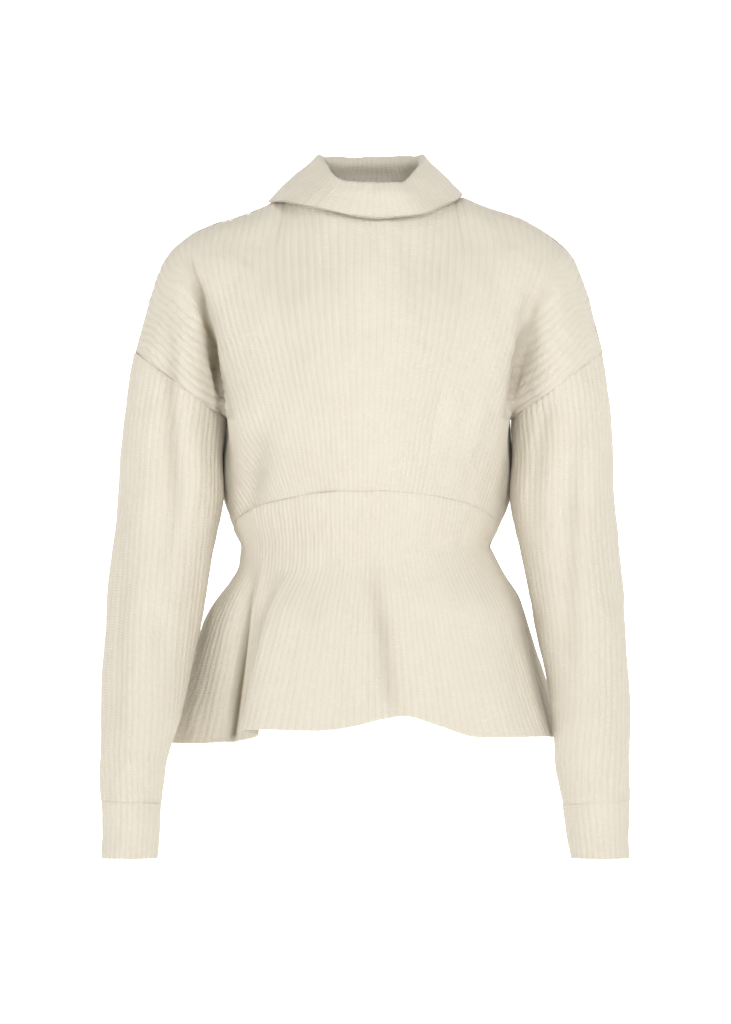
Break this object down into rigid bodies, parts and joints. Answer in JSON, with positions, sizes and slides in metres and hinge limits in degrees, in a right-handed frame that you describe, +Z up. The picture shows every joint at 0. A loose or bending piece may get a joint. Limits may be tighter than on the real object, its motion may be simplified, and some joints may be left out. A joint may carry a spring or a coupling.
{
  "type": "peplum sweater",
  "caption": "Ribbed-knit sweater with a folded funnel collar, dropped shoulders, long full sleeves with cuffs, an arched waist seam and a flared peplum.",
  "frame": {"origin": "middle of the neckline, between the shoulders that carry the sweater", "axes": "+Z up to the collar's fold, -Y out of the front, +X to the right of the front view"},
  "size_m": [0.5482, 0.2923, 0.74],
  "materials": {
    "knit": "matte ribbed wool knit"
  },
  "bodies": {
    "root": {"front_bodice": "knit", "back_bodice": "knit", "left_sleeve": "knit", "right_sleeve": "knit", "left_cuff": "knit", "right_cuff": "knit", "collar": "knit", "peplum_front": "knit", "peplum_back": "knit"}
  },
  "joints": []
}
